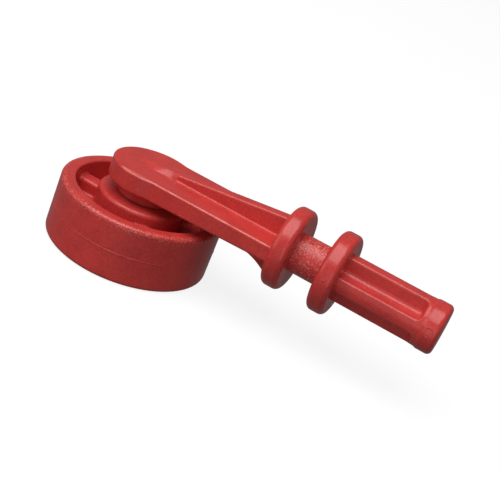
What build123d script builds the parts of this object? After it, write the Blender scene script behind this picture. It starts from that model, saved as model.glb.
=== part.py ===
from build123d import *

import os

# A roller arm moulded in plastic: a round ended plate carries a free turning wheel under
# one end and a ribbed stem with a two flanged journal and a round plug at the other.
# Millimetres. The origin is the middle of the wheel's underside, on the axis that it turns
# about. +Z runs up that axis and +X runs along the stem to the plug.

# Roller wheel
WHEEL_DIAMETER = 34.0
WHEEL_WIDTH = 12.25
RIM_WALL = 2.85
RIM_EDGE_ROUND = 0.8
RIM_BORE_ROUND = 0.4
HUB_DIAMETER = 18.7
HUB_EDGE_ROUND = 0.8
HUB_SETBACK = 0.4  # the hub's lower face stays this far off the surface
WEB_THICKNESS = 2.0
WEB_FILLET = 0.6
SPOKE_COUNT = 3
SPOKE_THICKNESS = 3.8
SPOKE_RECESS = 2.4
SPOKE_EDGE_ROUND = 0.8
SPOKE_ROOT_FILLET = 0.5

# Stub axle and what keeps the wheel on it
AXLE_DIAMETER = 7.9
RUNNING_CLEARANCE = 0.05
AXIAL_PLAY = 0.15
SHOULDER_DIAMETER = 11.4
SHOULDER_FILLET = 0.6
COUNTERBORE_DIAMETER = 14.0
COUNTERBORE_DEPTH = 4.2
WASHER_DIAMETER = 12.0
WASHER_THICKNESS = 1.0
WASHER_CLEARANCE = 0.15
SCREW_DIAMETER = 4.0
SCREW_LENGTH = 12.0
SCREW_HEAD_DIAMETER = 8.0
SCREW_HEAD_HEIGHT = 2.4
SCREW_HEAD_ROUND = 0.9
SCREW_POINT = 1.2
RECESS_SPAN = 4.4
RECESS_SLOT = 0.9
RECESS_DEPTH = 1.4
PILOT_BITE = 0.2  # how deep the thread cuts into the pilot hole's wall
PILOT_OVERRUN = 1.0

# Arm plate
STEM_HEIGHT = 5.0  # from the wheel's upper face to the stem's axis
PLATE_LENGTH = 29.6  # from the wheel's axis to the first flange
PLATE_WIDTH = 15.6
PLATE_NOSE_DIAMETER = 17.0
PLATE_WAIST_ROUND = 5.0
PLATE_ABOVE_AXIS = 1.6
PLATE_BELOW_AXIS = 2.45
PLATE_BELOW_AT_FLANGE = 1.7
PLATE_EDGE_ROUND = 0.45

# Ribs on the plate
RIB_THICKNESS = 2.9
RIB_TOP_AT_FLANGE = 5.85  # above the stem's axis
RIB_START = 5.8  # where the full section begins, from the wheel's axis
RIB_START_RISE = 1.3  # above the plate
NOSE_TIP = -3.7
NOSE_SHOULDER = 0.7
NOSE_RISE = 0.7
NOSE_FOOT_WIDTH = 4.0
NOSE_CREST_WIDTH = 0.8
RIB_EDGE_ROUND = 0.5
RIB_FOOT_FILLET = 0.4
KEEL_CLEARANCE = 0.6  # between the lower rib and the wheel's upper face
KEEL_FLARE_LENGTH = 8.0
KEEL_FLARE_DEPTH = 2.9

# Journal and flanges
FLANGE_DIAMETER = 16.8
FLANGE_WIDTH = 3.8
FLANGE_EDGE_ROUND = 1.15
JOURNAL_DIAMETER = 8.0
JOURNAL_LENGTH = 6.2

# Cross shaped tail with a round plug end
TAIL_DIAMETER = 9.9  # across the ribs
TAIL_LENGTH = 20.9
TAIL_RIB_THICKNESS = 3.0
PLUG_DIAMETER = 10.3
PLUG_LENGTH = 4.4
PLUG_SETBACK = 0.8  # from the pockets' ends to where the bar begins to swell out to the plug
PLUG_FLARE = 0.6
PLUG_END_ROUND = 1.0
POCKET_ROUND = 0.9
POCKET_EDGE_ROUND = 0.5

# Places worked out from the sizes above
AXIS_Z = WHEEL_WIDTH + STEM_HEIGHT
PLATE_TOP_Z = AXIS_Z + PLATE_ABOVE_AXIS
PLATE_LOW_Z = AXIS_Z - PLATE_BELOW_AXIS
FLANGE_1_X = PLATE_LENGTH
JOURNAL_X = FLANGE_1_X + FLANGE_WIDTH
FLANGE_2_X = JOURNAL_X + JOURNAL_LENGTH
TAIL_X = FLANGE_2_X + FLANGE_WIDTH
TAIL_END_X = TAIL_X + TAIL_LENGTH
SHOULDER_Z = WHEEL_WIDTH + AXIAL_PLAY
AXLE_END_Z = COUNTERBORE_DEPTH - AXIAL_PLAY
WASHER_Z = AXLE_END_Z - WASHER_THICKNESS
WEB_Z = (WHEEL_WIDTH - WEB_THICKNESS) / 2
NEAR = 0.01  # how close an edge lies to the place it is looked for at


def disc(diameter, low_z, high_z):
    """A round bar standing on the wheel's axis."""
    bar = Cylinder(diameter / 2, high_z - low_z, align=(Align.CENTER, Align.CENTER, Align.MIN))
    return Pos(0, 0, low_z) * bar


def stem_bar(diameter, low_x, high_x):
    """A round bar lying on the stem's axis."""
    bar = Cylinder(diameter / 2, high_x - low_x, align=(Align.CENTER, Align.CENTER, Align.MIN))
    return Pos(low_x, 0, AXIS_Z) * Rot(0, 90, 0) * bar


def side_slab(points, thickness):
    """A slab of a side outline, its points given as (x, z), centred on the stem."""
    outline = Plane.XZ * make_face(Polyline(*points, close=True))
    return extrude(outline, amount=thickness / 2, both=True)


def round_edges(body, radius, wanted):
    """Fillet the edges that pass a test of their middle point and the edge itself."""
    return fillet([edge for edge in body.edges() if wanted(edge @ 0.5, edge)], radius)


def is_circle(edge, diameter):
    """Whether an edge is a whole or part circle of this diameter."""
    return edge.geom_type == GeomType.CIRCLE and abs(edge.radius - diameter / 2) < NEAR


def wheel_spoke(turn):
    """One spoke: a bar from the hub to the rim, set back from both faces of the wheel."""
    inner = (HUB_DIAMETER - SPOKE_THICKNESS) / 2
    outer = (WHEEL_DIAMETER - RIM_WALL) / 2
    height = WHEEL_WIDTH - 2 * SPOKE_RECESS
    bar = Box(outer - inner, SPOKE_THICKNESS, height, align=(Align.MIN, Align.CENTER, Align.CENTER))
    bar = fillet(bar.edges().filter_by(Axis.X), SPOKE_EDGE_ROUND)
    return Rot(0, 0, turn) * Pos(inner, 0, WHEEL_WIDTH / 2) * bar


def roller_wheel():
    """The wheel: rim, middle web, spokes and a bored hub with a counterbore underneath."""
    rim_bore = WHEEL_DIAMETER - 2 * RIM_WALL
    rim = disc(WHEEL_DIAMETER, 0, WHEEL_WIDTH)
    rim = fillet(rim.edges().filter_by(GeomType.CIRCLE), RIM_EDGE_ROUND)
    rim -= disc(rim_bore, 0, WHEEL_WIDTH)
    rim = round_edges(rim, RIM_BORE_ROUND, lambda middle, edge: is_circle(edge, rim_bore))
    hub = disc(HUB_DIAMETER, HUB_SETBACK, WHEEL_WIDTH)
    hub = fillet(hub.edges().filter_by(GeomType.CIRCLE), HUB_EDGE_ROUND)
    web = disc(WHEEL_DIAMETER - RIM_WALL, WEB_Z, WEB_Z + WEB_THICKNESS)
    wheel = rim + hub + web
    joins = (rim_bore, HUB_DIAMETER)

    def on_web_root(middle, edge):
        on_face = abs(abs(middle.Z - WHEEL_WIDTH / 2) - WEB_THICKNESS / 2) < NEAR
        return on_face and any(is_circle(edge, diameter) for diameter in joins)

    wheel = round_edges(wheel, WEB_FILLET, on_web_root)
    for spoke in range(SPOKE_COUNT):
        wheel += wheel_spoke(180 + 360 * spoke / SPOKE_COUNT)

    def on_spoke_root(middle, edge):
        on_spoke = SPOKE_RECESS - NEAR < middle.Z < WHEEL_WIDTH - SPOKE_RECESS + NEAR
        off_axis = Vector(middle.X, middle.Y).length
        on_wall = any(abs(off_axis - diameter / 2) < NEAR for diameter in joins)
        on_seam = edge.geom_type == GeomType.LINE and abs(middle.Y) < NEAR
        return on_spoke and on_wall and not on_seam and edge.length < 2 * SPOKE_THICKNESS

    wheel = round_edges(wheel, SPOKE_ROOT_FILLET, on_spoke_root)
    wheel -= disc(AXLE_DIAMETER + 2 * RUNNING_CLEARANCE, 0, WHEEL_WIDTH)
    wheel -= disc(COUNTERBORE_DIAMETER, 0, COUNTERBORE_DEPTH)
    return wheel


def arm_plate():
    """The flat plate: round nose over the wheel, straight flanks, thinner towards the stem."""
    reach = FLANGE_1_X + FLANGE_WIDTH / 2
    strip = Rectangle(reach, PLATE_WIDTH, align=(Align.MIN, Align.CENTER))
    outline = Circle(PLATE_NOSE_DIAMETER / 2) + strip
    waist = [v for v in outline.vertices() if NEAR < v.X < reach - NEAR]
    outline = fillet(waist, PLATE_WAIST_ROUND)
    slope = (PLATE_BELOW_AXIS - PLATE_BELOW_AT_FLANGE) / PLATE_LENGTH
    back = -PLATE_NOSE_DIAMETER
    side = [
        (back, PLATE_TOP_Z),
        (reach, PLATE_TOP_Z),
        (reach, PLATE_LOW_Z + slope * reach),
        (0, PLATE_LOW_Z),
        (back, PLATE_LOW_Z),
    ]
    blank = Pos(0, 0, WHEEL_WIDTH) * extrude(outline, 2 * STEM_HEIGHT)
    plate = blank & side_slab(side, 2 * PLATE_NOSE_DIAMETER)

    def on_outline(middle, edge):
        upright = abs(edge.tangent_at(0.5).Z) > 0.5
        across = abs(middle.Y) < NEAR and middle.X > -NEAR
        return not upright and not across

    return round_edges(plate, PLATE_EDGE_ROUND, on_outline)


def rib_section(x, foot_width, crest_width, crest_z):
    """A cross section of the upper rib: wide at the plate, narrow at the crest."""
    foot, crest = foot_width / 2, crest_width / 2
    outline = [(x, -foot, PLATE_TOP_Z), (x, -crest, crest_z), (x, crest, crest_z), (x, foot, PLATE_TOP_Z)]
    return make_face(Polyline(*outline, close=True))


def top_rib():
    """The rib on the plate: a straight climb to the flange."""
    reach = FLANGE_1_X + FLANGE_WIDTH / 2
    start_z = PLATE_TOP_Z + RIB_START_RISE
    end_z = AXIS_Z + RIB_TOP_AT_FLANGE
    side = [
        (RIB_START, AXIS_Z),
        (RIB_START, start_z),
        (FLANGE_1_X, end_z),
        (reach, end_z),
        (reach, AXIS_Z),
    ]
    rib = side_slab(side, RIB_THICKNESS)

    def on_crest(middle, edge):
        beside = abs(abs(middle.Y) - RIB_THICKNESS / 2) < NEAR
        return beside and middle.Z > start_z and middle.X < reach - NEAR

    return round_edges(rib, RIB_EDGE_ROUND, on_crest)


def rib_nose():
    """The upper rib's pointed nose: a low pyramid, then a neck that narrows to the rib."""
    start_z = PLATE_TOP_Z + RIB_START_RISE
    tip = Vertex(NOSE_TIP, 0, PLATE_TOP_Z)
    shoulder = rib_section(NOSE_SHOULDER, NOSE_FOOT_WIDTH, NOSE_CREST_WIDTH, PLATE_TOP_Z + NOSE_RISE)
    full = rib_section(RIB_START, RIB_THICKNESS, RIB_THICKNESS - 2 * RIB_EDGE_ROUND, start_z)
    return loft([tip, shoulder], ruled=True) + loft([shoulder, full], ruled=True)


def keel():
    """The lower rib: it clears the wheel and flares down into the first flange."""
    reach = FLANGE_1_X + FLANGE_WIDTH / 2
    low_z = WHEEL_WIDTH + KEEL_CLEARANCE
    flare_x = FLANGE_1_X - KEEL_FLARE_LENGTH
    flare_z = low_z - KEEL_FLARE_DEPTH
    under = Polyline((0, AXIS_Z), (0, low_z), (flare_x, low_z))
    flare = TangentArc((flare_x, low_z), (FLANGE_1_X, flare_z), tangent=(1, 0))
    close = Polyline((FLANGE_1_X, flare_z), (reach, flare_z), (reach, AXIS_Z), (0, AXIS_Z))
    outline = Plane.XZ * make_face(under + flare + close)
    half = RIB_THICKNESS / 2
    rib = extrude(outline, amount=half, both=True)

    def on_lower_edge(middle, edge):
        beside = abs(abs(middle.Y) - half) < NEAR
        return beside and middle.Z < low_z + NEAR and NEAR < middle.X < FLANGE_1_X - NEAR

    return round_edges(rib, RIB_EDGE_ROUND, on_lower_edge)


def flange(low_x):
    """A round flange on the stem with both edges well rounded."""
    collar = stem_bar(FLANGE_DIAMETER, low_x, low_x + FLANGE_WIDTH)
    return fillet(collar.edges().filter_by(GeomType.CIRCLE), FLANGE_EDGE_ROUND)


def tail_pocket(quarter):
    """What one of the four pockets of the tail takes away, from inside the flange to the plug."""
    low_x = TAIL_X - FLANGE_WIDTH / 2
    length = TAIL_END_X - PLUG_LENGTH - low_x
    block = Box(length, TAIL_DIAMETER, TAIL_DIAMETER, align=(Align.MIN, Align.MIN, Align.MIN))
    # the three edges that meet at each inner corner of the block are the pocket's inner corners
    block = round_edges(block, POCKET_ROUND, lambda middle, edge: meets_axis_line(edge))
    half = TAIL_RIB_THICKNESS / 2
    return Pos(low_x, 0, AXIS_Z) * Rot(90 * quarter, 0, 0) * Pos(0, half, half) * block


def meets_axis_line(edge):
    """Whether an edge has an end on the line y = z = 0."""
    return any(abs(end.Y) < NEAR and abs(end.Z) < NEAR for end in (edge @ 0, edge @ 1))


def tail():
    """The cross shaped tail: a round bar with four pockets and a solid rounded end."""
    low_x = TAIL_X - FLANGE_WIDTH / 2
    flare_x = TAIL_END_X - PLUG_LENGTH + PLUG_SETBACK
    bar = stem_bar(TAIL_DIAMETER, low_x, flare_x)
    for quarter in range(4):
        bar -= tail_pocket(quarter)

    def on_mouth(middle, edge):
        off_axis = Vector(0, middle.Y, middle.Z - AXIS_Z).length
        beside = abs(off_axis - TAIL_DIAMETER / 2) < NEAR and abs(middle.Y) > NEAR
        return beside and low_x + NEAR < max((edge @ 0).X, (edge @ 1).X) < flare_x - NEAR

    bar = round_edges(bar, POCKET_EDGE_ROUND, on_mouth)
    plug_x = flare_x + PLUG_FLARE
    flare = Cone(TAIL_DIAMETER / 2, PLUG_DIAMETER / 2, PLUG_FLARE)
    bar += Pos(flare_x + PLUG_FLARE / 2, 0, AXIS_Z) * Rot(0, 90, 0) * flare
    plug = stem_bar(PLUG_DIAMETER, plug_x, TAIL_END_X)
    return bar + round_edges(plug, PLUG_END_ROUND, lambda middle, edge: abs(middle.X - TAIL_END_X) < NEAR)


def swing_arm():
    """The arm, moulded in one piece from the axle to the plug."""

    def on_rib_foot(middle, edge):
        by_rib = abs(middle.Z - PLATE_TOP_Z) < NEAR and abs(middle.Y) < RIB_THICKNESS
        return by_rib and RIB_START < middle.X < FLANGE_1_X and edge.length > RIB_THICKNESS

    def on_shoulder_root(middle, edge):
        return is_circle(edge, SHOULDER_DIAMETER) and abs(middle.Z - PLATE_LOW_Z) < NEAR

    arm = round_edges(arm_plate() + top_rib(), RIB_FOOT_FILLET, on_rib_foot) + rib_nose()
    arm += disc(SHOULDER_DIAMETER, SHOULDER_Z, AXIS_Z)
    arm = round_edges(arm, SHOULDER_FILLET, on_shoulder_root)
    arm += disc(AXLE_DIAMETER, AXLE_END_Z, AXIS_Z) + keel()
    arm += flange(FLANGE_1_X) + flange(FLANGE_2_X)
    arm += stem_bar(JOURNAL_DIAMETER, FLANGE_1_X, TAIL_X)
    arm += tail()
    pilot = SCREW_DIAMETER - 2 * PILOT_BITE
    depth = SCREW_LENGTH - WASHER_THICKNESS + PILOT_OVERRUN
    arm -= disc(pilot, AXLE_END_Z, AXLE_END_Z + depth)
    return arm


def retaining_washer():
    """The flat washer against the end of the axle."""
    ring = disc(WASHER_DIAMETER, WASHER_Z, AXLE_END_Z)
    ring = chamfer(ring.edges().filter_by(GeomType.CIRCLE), WASHER_THICKNESS / 8)
    return ring - disc(SCREW_DIAMETER + 2 * WASHER_CLEARANCE, WASHER_Z, AXLE_END_Z)


def retaining_screw():
    """The pan head thread forming screw that holds the washer, cross recess downwards."""
    head_z = WASHER_Z - SCREW_HEAD_HEIGHT
    head = disc(SCREW_HEAD_DIAMETER, head_z, WASHER_Z)
    head = round_edges(head, SCREW_HEAD_ROUND, lambda middle, edge: abs(middle.Z - head_z) < NEAR)
    tip_z = WASHER_Z + SCREW_LENGTH
    shank = disc(SCREW_DIAMETER, WASHER_Z - SCREW_HEAD_HEIGHT / 2, tip_z)
    shank = chamfer([edge for edge in shank.edges() if abs((edge @ 0).Z - tip_z) < NEAR], SCREW_POINT)
    screw = head + shank
    for turn in (0, 90):
        slot = Box(RECESS_SPAN, RECESS_SLOT, 2 * RECESS_DEPTH)
        screw -= Pos(0, 0, head_z) * Rot(0, 0, turn) * slot
    return screw


os.makedirs("parts", exist_ok=True)
pieces = {
    "swing_arm": swing_arm(),
    "roller_wheel": roller_wheel(),
    "retaining_washer": retaining_washer(),
    "retaining_screw": retaining_screw(),
}
for name, piece in pieces.items():
    export_step(piece, f"parts/{name}.step")
    print(name, len(piece.solids()), "solid", round(piece.volume, 1), "mm3")
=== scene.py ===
import math

import bpy
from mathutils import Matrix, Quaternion, Vector


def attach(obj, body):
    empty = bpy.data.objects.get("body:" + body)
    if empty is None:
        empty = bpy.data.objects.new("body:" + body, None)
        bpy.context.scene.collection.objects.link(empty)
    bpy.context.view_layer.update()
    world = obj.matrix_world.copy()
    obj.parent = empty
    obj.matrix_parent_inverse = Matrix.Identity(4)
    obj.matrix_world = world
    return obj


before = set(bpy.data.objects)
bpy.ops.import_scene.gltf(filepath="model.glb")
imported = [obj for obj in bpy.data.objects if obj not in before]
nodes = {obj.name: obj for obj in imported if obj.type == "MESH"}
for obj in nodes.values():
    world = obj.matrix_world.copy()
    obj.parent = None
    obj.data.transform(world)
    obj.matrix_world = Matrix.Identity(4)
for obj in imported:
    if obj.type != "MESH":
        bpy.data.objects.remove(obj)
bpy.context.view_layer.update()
MM = 0.001


# Studio
# A sheet of white paper under the part, three soft lights, and a camera with a short telephoto
# lens, rolled so that the stem runs downhill. The paper glows a little and throws no light on
# the part.
camera_data = bpy.data.cameras.new("camera")
camera_data.sensor_width = 36.0
camera_data.lens = 76.24
camera_data.clip_start = 0.01
camera_data.clip_end = 10.0
camera = bpy.data.objects.new("camera", camera_data)
bpy.context.scene.collection.objects.link(camera)
bpy.context.scene.camera = camera
camera.location = (71.48 * MM, -183.18 * MM, 95.25 * MM)
swing = Quaternion((0, 0, 1), math.radians(14.40))
tilt = Quaternion((1, 0, 0), math.radians(90 - 23.54))
roll = Quaternion((0, 0, 1), math.radians(23.05))
camera.rotation_mode = "QUATERNION"
camera.rotation_quaternion = swing @ tilt @ roll

bpy.ops.object.select_all(action="DESELECT")
PAPER_SIZE = 6.0
PAPER_GAP = 0.02 * MM  # keeps the paper clear of the wheel's underside
bpy.ops.mesh.primitive_plane_add(size=PAPER_SIZE, location=(0, 0, -PAPER_GAP))
table = bpy.context.object
table.name = "table"
paper = bpy.data.materials.new("white_paper")
paper.use_nodes = True
paper_shader = paper.node_tree.nodes["Principled BSDF"]
paper_shader.inputs["Base Color"].default_value = (0.17, 0.17, 0.17, 1)
paper_shader.inputs["Roughness"].default_value = 0.9
paper_shader.inputs["Emission Color"].default_value = (1, 1, 1, 1)
paper_shader.inputs["Emission Strength"].default_value = 0.85
table.data.materials.append(paper)
table.visible_diffuse = False
table.visible_glossy = False

world = bpy.data.worlds.new("studio")
bpy.context.scene.world = world
world.use_nodes = True
world.node_tree.nodes["Background"].inputs["Color"].default_value = (1, 1, 1, 1)
world.node_tree.nodes["Background"].inputs["Strength"].default_value = 0.16
bpy.context.scene.view_settings.view_transform = "Standard"


SOFTBOX_DISTANCE = 1.2
PART_MIDDLE = Vector((22 * MM, 0, 12 * MM))


def softbox(name, towards, size, radiance):
    """A square area light that faces the part from this direction."""
    light = bpy.data.lights.new(name, "AREA")
    light.shape = "SQUARE"
    light.size = size
    light.energy = radiance * math.pi * size ** 2
    lamp = bpy.data.objects.new(name, light)
    bpy.context.scene.collection.objects.link(lamp)
    lamp.location = PART_MIDDLE + SOFTBOX_DISTANCE * Vector(towards).normalized()
    lamp.rotation_mode = "QUATERNION"
    lamp.rotation_quaternion = (PART_MIDDLE - lamp.location).to_track_quat("-Z", "Y")


softbox("overhead_softbox", (-0.15, -0.30, 0.94), 1.15, 3.4)
softbox("left_softbox", (-0.8, -0.7, 0.45), 0.8, 1.2)
softbox("front_softbox", (0.25, -1.0, 0.02), 0.9, 0.9)


# Red plastic
# Both mouldings are the same opaque red plastic, dyed right through. The mould was spark
# eroded, which leaves a fine satin grain. Handling has left pale specks and a rubbed rim
# edge. The same pale pink is also painted on as a highlight along the plate's front edge and
# as glints on the journal's neck.
def add_noise(tree, place, scale, detail, roughness):
    """A noise pattern that reads a position on the part."""
    noise = tree.nodes.new("ShaderNodeTexNoise")
    noise.inputs["Scale"].default_value = scale
    noise.inputs["Detail"].default_value = detail
    noise.inputs["Roughness"].default_value = roughness
    tree.links.new(place, noise.inputs["Vector"])
    return noise.outputs["Fac"]


def add_band(tree, value, low, high, to_low=0.0, to_high=1.0):
    """A value stretched so that low gives to_low and high gives to_high, and no further."""
    band = tree.nodes.new("ShaderNodeMapRange")
    band.inputs["From Min"].default_value = low
    band.inputs["From Max"].default_value = high
    band.inputs["To Min"].default_value = to_low
    band.inputs["To Max"].default_value = to_high
    tree.links.new(value, band.inputs["Value"])
    return band.outputs["Result"]


def add_math(tree, operation, first, second):
    """Two values combined; the second may be a plain number."""
    node = tree.nodes.new("ShaderNodeMath")
    node.operation = operation
    tree.links.new(first, node.inputs[0])
    if isinstance(second, (int, float)):
        node.inputs[1].default_value = second
    else:
        tree.links.new(second, node.inputs[1])
    return node.outputs[0]


def add_tint(tree, base, tinted, amount):
    """A colour moved towards another by an amount between 0 and 1."""
    mix = tree.nodes.new("ShaderNodeMix")
    mix.data_type = "RGBA"
    if isinstance(base, tuple):
        mix.inputs["A"].default_value = base
    else:
        tree.links.new(base, mix.inputs["A"])
    mix.inputs["B"].default_value = tinted
    tree.links.new(amount, mix.inputs["Factor"])
    return mix.outputs["Result"]


DEEP_RED = (0.47, 0.035, 0.034, 1)
CLEAR_RED = (0.71, 0.060, 0.050, 1)
# pale pink of the real wear specks, also used for a painted highlight and painted glints
WEAR_AND_HIGHLIGHT_PINK = (0.74, 0.22, 0.18, 1)


def red_plastic(name):
    """The plain red plastic: its colour varies a little and its grain glitters."""
    material = bpy.data.materials.new(name)
    material.use_nodes = True
    tree = material.node_tree
    shader = tree.nodes["Principled BSDF"]
    shader.inputs["Specular IOR Level"].default_value = 0.42
    place = tree.nodes.new("ShaderNodeTexCoord").outputs["Object"]
    cloud = add_band(tree, add_noise(tree, place, 190, 3, 0.6), 0.30, 0.70)
    grain = add_noise(tree, place, 2600, 3, 0.7)
    fleck = add_band(tree, grain, 0.36, 0.64)
    clearness = add_math(tree, "MULTIPLY", add_math(tree, "ADD", cloud, fleck), 0.5)
    colour = add_tint(tree, DEEP_RED, CLEAR_RED, clearness)
    specks = add_band(tree, add_noise(tree, place, 1500, 2, 0.5), 0.735, 0.79)
    colour = add_tint(tree, colour, WEAR_AND_HIGHLIGHT_PINK, add_math(tree, "MULTIPLY", specks, 0.55))
    tree.links.new(colour, shader.inputs["Base Color"])
    tree.links.new(add_band(tree, grain, 0.25, 0.75, 0.17, 0.28), shader.inputs["Roughness"])
    bump = tree.nodes.new("ShaderNodeBump")
    bump.inputs["Strength"].default_value = 0.55
    bump.inputs["Distance"].default_value = 0.03 * MM
    tree.links.new(grain, bump.inputs["Height"])
    tree.links.new(bump.outputs["Normal"], shader.inputs["Normal"])
    return material, tree, shader, place, colour, bump


arm_red, arm_tree, arm_shader, arm_place, arm_colour, arm_bump = red_plastic("arm_red_plastic")
wheel_red, wheel_tree, wheel_shader, wheel_place, wheel_colour, _ = red_plastic("wheel_red_plastic")


# Swing arm
# One red moulding. Its journal's neck, between the flanges, was left as rough as the cut metal
# of the mould, so it is bumpy there and glitters. Pale pink specks are also painted on the
# neck as glints of that rough grain.
arm_axes = arm_tree.nodes.new("ShaderNodeSeparateXYZ")
arm_tree.links.new(arm_place, arm_axes.inputs["Vector"])
along, across, up = arm_axes.outputs
from_flange = add_band(arm_tree, along, 33.0 * MM, 33.6 * MM)
to_flange = add_band(arm_tree, along, 39.4 * MM, 39.9 * MM, 1.0, 0.0)
neck = add_math(arm_tree, "MULTIPLY", from_flange, to_flange)
coarse = add_noise(arm_tree, arm_place, 2600, 2, 0.6)
# painted glints: pale pink specks on the neck that stand in for the sparkle of its rough grain
painted_glints = add_math(arm_tree, "MULTIPLY", add_band(arm_tree, coarse, 0.54, 0.62), neck)
arm_colour = add_tint(arm_tree, arm_colour, WEAR_AND_HIGHLIGHT_PINK, add_math(arm_tree, "MULTIPLY", painted_glints, 0.75))

# painted highlight: the plate's upper front edge, where the overhead light catches it, is tinted pale
# pink in stretches as far as the first flange
to_front = add_band(arm_tree, across, -7.62 * MM, -7.40 * MM, 1.0, 0.0)
on_top = add_band(arm_tree, up, 18.55 * MM, 18.70 * MM)
on_edge = add_math(arm_tree, "MULTIPLY", to_front, on_top)
stretches = add_band(arm_tree, add_noise(arm_tree, arm_place, 260, 3, 0.6), 0.30, 0.55)
on_plate = add_band(arm_tree, along, 28.5 * MM, 29.5 * MM, 1.0, 0.0)
painted_highlight = add_math(arm_tree, "MULTIPLY", add_math(arm_tree, "MULTIPLY", on_edge, stretches), on_plate)
# the pale pink tint along this edge is a painted highlight
arm_colour = add_tint(arm_tree, arm_colour, WEAR_AND_HIGHLIGHT_PINK, add_math(arm_tree, "MULTIPLY", painted_highlight, 0.85))
arm_tree.links.new(arm_colour, arm_shader.inputs["Base Color"])

rough_neck = arm_tree.nodes.new("ShaderNodeBump")
rough_neck.inputs["Distance"].default_value = 0.09 * MM
arm_tree.links.new(add_math(arm_tree, "MULTIPLY", neck, 0.9), rough_neck.inputs["Strength"])
arm_tree.links.new(coarse, rough_neck.inputs["Height"])
arm_tree.links.new(arm_bump.outputs["Normal"], rough_neck.inputs["Normal"])
arm_tree.links.new(rough_neck.outputs["Normal"], arm_shader.inputs["Normal"])
nodes["swing_arm"].data.materials.clear()
nodes["swing_arm"].data.materials.append(arm_red)


# Roller wheel
# The other red moulding, rolled and knocked about in use: the upper edge of its rim is rubbed
# pale in small specks.
wheel_axes = wheel_tree.nodes.new("ShaderNodeSeparateXYZ")
wheel_tree.links.new(wheel_place, wheel_axes.inputs["Vector"])
off_axis = wheel_tree.nodes.new("ShaderNodeVectorMath")
off_axis.operation = "LENGTH"
flat_place = wheel_tree.nodes.new("ShaderNodeVectorMath")
flat_place.operation = "MULTIPLY"
flat_place.inputs[1].default_value = (1, 1, 0)
wheel_tree.links.new(wheel_place, flat_place.inputs[0])
wheel_tree.links.new(flat_place.outputs["Vector"], off_axis.inputs[0])
outer = add_band(wheel_tree, off_axis.outputs["Value"], 15.7 * MM, 16.5 * MM)
upper = add_band(wheel_tree, wheel_axes.outputs["Z"], 10.6 * MM, 11.9 * MM)
edge = add_math(wheel_tree, "MULTIPLY", outer, upper)
rubbed = add_band(wheel_tree, add_noise(wheel_tree, wheel_place, 2600, 3, 0.7), 0.52, 0.62)
rubbed = add_math(wheel_tree, "MULTIPLY", add_math(wheel_tree, "MULTIPLY", rubbed, edge), 0.75)
wheel_colour = add_tint(wheel_tree, wheel_colour, WEAR_AND_HIGHLIGHT_PINK, rubbed)
wheel_tree.links.new(wheel_colour, wheel_shader.inputs["Base Color"])
nodes["roller_wheel"].data.materials.clear()
nodes["roller_wheel"].data.materials.append(wheel_red)


# Parting line on the tread
# The two halves of the wheel's mould met half way up the tread. A hair of plastic crept
# between them and stands proud, except where use has worn it flush.
LINE_RADIUS = 16.99 * MM
LINE_HEIGHT = 6.125 * MM
LINE_BEAD = 0.08 * MM
WORN_STRETCHES = (  # from and to, in degrees round the wheel, and how far each is pressed in
    (-175, -146, 0.9972),
    (-124, -108, 0.9968),
    (-64, -60, 0.9990),
    (-38, 12, 0.997),
    (40, 75, 0.998),
    (110, 150, 0.9975),
)
bpy.ops.object.select_all(action="DESELECT")
bpy.ops.mesh.primitive_torus_add(
    major_segments=240, minor_segments=6, major_radius=LINE_RADIUS, minor_radius=LINE_BEAD,
    location=(0, 0, LINE_HEIGHT),
)
parting_line = bpy.context.object
parting_line.name = "parting_line"
bpy.ops.object.mode_set(mode="EDIT")
for start, end, sink in WORN_STRETCHES:
    bpy.ops.mesh.select_all(action="DESELECT")
    bpy.ops.object.mode_set(mode="OBJECT")
    for vertex in parting_line.data.vertices:
        turn = math.degrees(math.atan2(vertex.co.y, vertex.co.x))
        vertex.select = start < turn < end
    bpy.ops.object.mode_set(mode="EDIT")
    bpy.ops.transform.resize(
        value=(sink, sink, 1), center_override=(0, 0, LINE_HEIGHT),
        use_proportional_edit=True, proportional_edit_falloff="SMOOTH", proportional_size=2.5 * MM,
    )
bpy.ops.mesh.select_all(action="SELECT")
bpy.ops.mesh.normals_make_consistent(inside=False)
bpy.ops.object.mode_set(mode="OBJECT")
bpy.ops.object.transform_apply(location=True, rotation=True, scale=True)
bpy.ops.object.shade_smooth()
parting_line.data.materials.append(wheel_red)
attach(parting_line, "wheel")


# Knock-out ring
# The pin that pushed the arm out of its mould left a faint raised ring on the side of the plug.
RING_RADIUS = 0.75 * MM
RING_BEAD = 0.07 * MM
RING_LEAN = math.radians(90 - 6)  # the ring lies against the plug's round side
bpy.ops.object.select_all(action="DESELECT")
bpy.ops.mesh.primitive_torus_add(
    major_segments=48, minor_segments=8, major_radius=RING_RADIUS, minor_radius=RING_BEAD,
    location=(62.35 * MM, -5.07 * MM, 17.8 * MM), rotation=(RING_LEAN, 0, 0),
)
knock_out_ring = bpy.context.object
knock_out_ring.name = "knock_out_ring"
bpy.ops.object.mode_set(mode="EDIT")
bpy.ops.mesh.select_all(action="SELECT")
bpy.ops.transform.resize(value=(1, 1, 1.3))
bpy.ops.mesh.normals_make_consistent(inside=False)
bpy.ops.object.mode_set(mode="OBJECT")
bpy.ops.object.transform_apply(location=True, rotation=True, scale=True)
bpy.ops.object.shade_smooth()
knock_out_ring.data.materials.append(arm_red)
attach(knock_out_ring, "arm")


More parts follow.
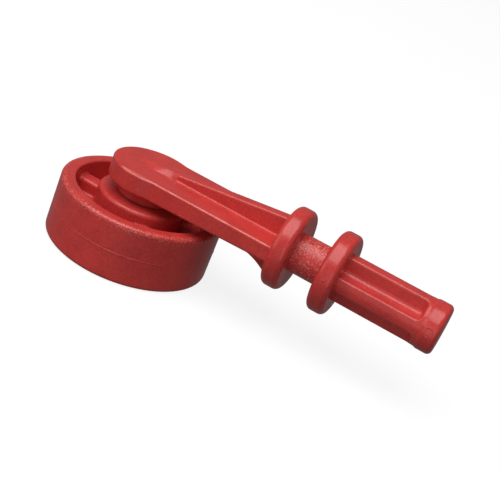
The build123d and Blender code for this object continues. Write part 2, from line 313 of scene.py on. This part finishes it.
# Gate nib
# The plastic was let into the mould at the second flange. The sprue was twisted off almost
# flush, which left a small lopsided nib.
NIB_RADIUS = 0.26 * MM
bpy.ops.object.select_all(action="DESELECT")
bpy.ops.mesh.primitive_uv_sphere_add(
    segments=24, ring_count=12, radius=NIB_RADIUS, location=(41.5 * MM, -8.3 * MM, 18.24 * MM),
)
gate_nib = bpy.context.object
gate_nib.name = "gate_nib"
bpy.ops.object.mode_set(mode="EDIT")
bpy.ops.mesh.select_all(action="SELECT")
bpy.ops.transform.resize(value=(1.3, 0.45, 0.8))
bpy.ops.mesh.select_all(action="DESELECT")
bpy.ops.object.mode_set(mode="OBJECT")
for vertex in gate_nib.data.vertices:
    vertex.select = vertex.co.x > 0.15 * MM and vertex.co.z > 0
bpy.ops.object.mode_set(mode="EDIT")
bpy.ops.transform.translate(
    value=(0.08 * MM, -0.05 * MM, 0.10 * MM),
    use_proportional_edit=True, proportional_edit_falloff="SMOOTH", proportional_size=0.25 * MM,
)
bpy.ops.mesh.select_all(action="SELECT")
bpy.ops.mesh.normals_make_consistent(inside=False)
bpy.ops.object.mode_set(mode="OBJECT")
bpy.ops.object.transform_apply(location=True, rotation=True, scale=True)
bpy.ops.object.shade_smooth()
gate_nib.data.materials.append(arm_red)
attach(gate_nib, "arm")


# Steel fixings
# A zinc plated steel washer and pan head screw, under the wheel, hold it on the arm's axle. The
# zinc is a dull grey with slight patches.
steel = bpy.data.materials.new("zinc_plated_steel")
steel.use_nodes = True
steel_tree = steel.node_tree
steel_shader = steel_tree.nodes["Principled BSDF"]
steel_shader.inputs["Metallic"].default_value = 1.0
steel_place = steel_tree.nodes.new("ShaderNodeTexCoord").outputs["Object"]
patches = add_noise(steel_tree, steel_place, 420, 4, 0.6)
fine = add_noise(steel_tree, steel_place, 4200, 3, 0.6)
DULL_ZINC = (0.50, 0.50, 0.52, 1)
BRIGHT_ZINC = (0.72, 0.71, 0.68, 1)
steel_colour = add_tint(steel_tree, DULL_ZINC, BRIGHT_ZINC, add_band(steel_tree, patches, 0.3, 0.7))
steel_tree.links.new(steel_colour, steel_shader.inputs["Base Color"])
steel_tree.links.new(add_band(steel_tree, fine, 0.3, 0.7, 0.26, 0.42), steel_shader.inputs["Roughness"])
steel_bump = steel_tree.nodes.new("ShaderNodeBump")
steel_bump.inputs["Strength"].default_value = 0.2
steel_bump.inputs["Distance"].default_value = 0.01 * MM
steel_tree.links.new(fine, steel_bump.inputs["Height"])
steel_tree.links.new(steel_bump.outputs["Normal"], steel_shader.inputs["Normal"])
for name in ("retaining_washer", "retaining_screw"):
    nodes[name].data.materials.clear()
    nodes[name].data.materials.append(steel)
